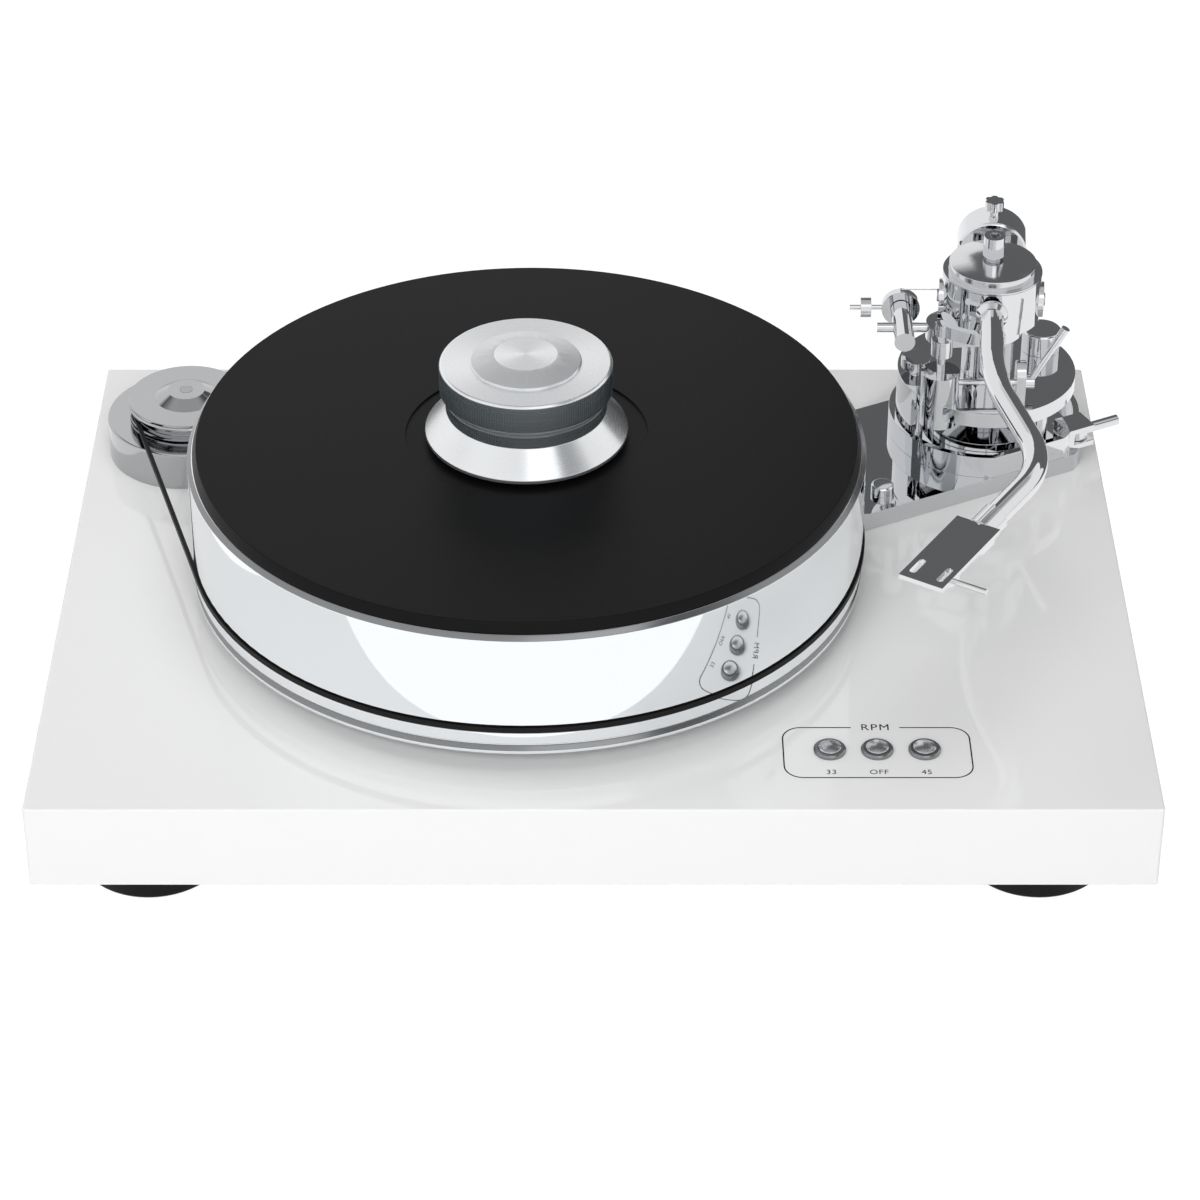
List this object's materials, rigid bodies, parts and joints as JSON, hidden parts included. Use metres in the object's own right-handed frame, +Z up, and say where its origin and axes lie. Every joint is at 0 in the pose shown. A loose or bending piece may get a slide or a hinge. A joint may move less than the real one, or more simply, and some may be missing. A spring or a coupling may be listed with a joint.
{
  "type": "turntable record player",
  "caption": "Belt-drive turntable with a white gloss plinth, deep polished platter, record clamp, outboard motor and bright S-shaped tonearm",
  "frame": {"origin": "On the surface it stands on, in the middle of the overall box", "axes": "+X to the right along the front, +Y to the back, +Z up"},
  "size_m": [0.49, 0.364, 0.176],
  "materials": {
    "white_lacquer": "white gloss lacquer on fibreboard",
    "black_foot": "satin black",
    "black_rubber": "matt black",
    "polished_aluminium": "mirror polished, lacquered",
    "damping_rubber": "matt dark grey",
    "mat_black": "fine satin black",
    "turned_aluminium": "fine turned",
    "satin_aluminium": "satin",
    "grey_felt": "short felt",
    "belt_rubber": "smooth black",
    "mirror_steel": "polished like a mirror",
    "chrome": "bright polished",
    "arm_aluminium": "bright polished",
    "ground_steel": "ground",
    "bearing_brass": "turned",
    "motor_core": "dark grey",
    "circuit_board": "green solder mask",
    "black_plastic": "moulded black",
    "black_metal": "fine textured black",
    "gilt_brass": "gold plated",
    "thread": "fine line"
  },
  "bodies": {
    "deck": {"plinth": "white_lacquer", "base_cover": "black_plastic", "feet": "black_foot", "foot_pads": "black_rubber", "bearing_housing": "bearing_brass", "thrust_pad": "black_plastic", "motor_housing": "satin_aluminium", "motor": "motor_core", "drive_belt": "belt_rubber", "armboard": "mirror_steel", "armboard_bolts": "chrome", "arm_base_ring": "chrome", "platform_posts": "chrome", "arm_platform": "chrome", "arm_pillar": "chrome", "bearing_flange": "chrome", "lead_cap": "chrome", "lock_screw": "chrome", "lift_cylinder": "chrome", "lever_bracket": "chrome", "outrigger_bar": "chrome", "outrigger_housing": "chrome", "skating_thread": "thread", "button_bezels": "chrome", "control_board": "circuit_board", "button_switches": "black_plastic", "connector_panel": "black_metal", "phono_sockets": "gilt_brass", "ground_terminal": "gilt_brass", "power_inlet": "black_plastic"},
    "platter_body": {"platter": "polished_aluminium", "platter_mat": "mat_black", "spindle": "ground_steel", "damping_ring": "damping_rubber"},
    "clamp": {"clamp_pad": "grey_felt", "clamp_base": "turned_aluminium", "clamp_grip": "turned_aluminium"},
    "drive": {"pulley": "satin_aluminium", "motor_shaft": "ground_steel"},
    "arm_bearing": {"arm_drum": "chrome", "drum_cap": "chrome", "cap_knob": "chrome", "yaw_spindle": "ground_steel", "pivot_screws": "ground_steel"},
    "arm": {"pivot_block": "arm_aluminium", "balance_rod": "ground_steel", "arm_tube": "arm_aluminium", "headshell_collar": "arm_aluminium", "headshell": "arm_aluminium", "finger_lift": "arm_aluminium"},
    "balance": {"counterweight": "chrome", "counterweight_screw": "chrome"},
    "lift": {"lift_bar": "chrome"},
    "cue": {"cue_lever": "chrome"},
    "skating": {"skating_wheel": "chrome"},
    "skating_slider": {"skating_weight": "chrome"},
    "locking_lever": {"base_lever": "chrome"},
    "slow_button": {"button_slow": "chrome"},
    "off_button": {"button_off": "chrome"},
    "fast_button": {"button_fast": "chrome"}
  },
  "joints": [
    {"name": "platter_spin", "type": "hinge", "parent": "deck", "child": "platter_body", "pos_m": [-0.03496, -0.0045, 0.0696], "axis": [0, 0, 1], "continuous": true},
    {"name": "pulley_spin", "type": "hinge", "parent": "deck", "child": "drive", "pos_m": [-0.19847, 0.10249, 0.079], "axis": [0, 0, 1], "continuous": true},
    {"name": "clamp_lift", "type": "slide", "parent": "platter_body", "child": "clamp", "axis": [0, 0, 1], "range_m": [0, 0.03]},
    {"name": "arm_yaw", "type": "hinge", "parent": "deck", "child": "arm_bearing", "pos_m": [0.18048, 0.10551, 0.132], "axis": [0, 0, -1], "range_deg": [0, 37]},
    {"name": "arm_pitch", "type": "hinge", "parent": "arm_bearing", "child": "arm", "pos_m": [0.18048, 0.10551, 0.1405], "axis": [-0.9967, 0.0812, 0], "range_deg": [0, 4]},
    {"name": "counterweight_slide", "type": "slide", "parent": "arm", "child": "balance", "axis": [0.0812, 0.9967, 0], "range_m": [0, 0.012]},
    {"name": "lift_rise", "type": "slide", "parent": "deck", "child": "lift", "axis": [0, 0, 1], "range_m": [0, 0.0025]},
    {"name": "cue_turn", "type": "hinge", "parent": "deck", "child": "cue", "pos_m": [0.19618, 0.07935, 0.11], "axis": [1, 0, 0], "range_deg": [0, 46]},
    {"name": "skating_turn", "type": "hinge", "parent": "deck", "child": "skating", "pos_m": [0.13948, 0.11511, 0.12825], "axis": [0, 1, 0], "range_deg": [0, 51]},
    {"name": "skating_adjust", "type": "slide", "parent": "skating", "child": "skating_slider", "axis": [-1, 0, 0], "range_m": [-0.004, 0.004]},
    {"name": "lever_swing", "type": "hinge", "parent": "deck", "child": "locking_lever", "pos_m": [0.22396, 0.09291, 0.0745], "axis": [0, 0, -1], "range_deg": [0, 60]},
    {"name": "slow_press", "type": "slide", "parent": "deck", "child": "slow_button", "axis": [0, 0, -1], "range_m": [0, 0.0012], "stiffness_N_per_m": 400, "springref_m": -0.0005},
    {"name": "off_press", "type": "slide", "parent": "deck", "child": "off_button", "axis": [0, 0, -1], "range_m": [0, 0.0012], "stiffness_N_per_m": 400, "springref_m": -0.0005},
    {"name": "fast_press", "type": "slide", "parent": "deck", "child": "fast_button", "axis": [0, 0, -1], "range_m": [0, 0.0012], "stiffness_N_per_m": 400, "springref_m": -0.0005}
  ],
  "couplings": [
    {"joint": "pulley_spin", "follows": "platter_spin", "ratio": 5.918},
    {"joint": "lift_rise", "follows": "arm_pitch", "m_per_rad": 0.033518},
    {"joint": "cue_turn", "follows": "arm_pitch", "ratio": 11.25},
    {"joint": "skating_turn", "follows": "arm_yaw", "ratio": 1.35}
  ]
}
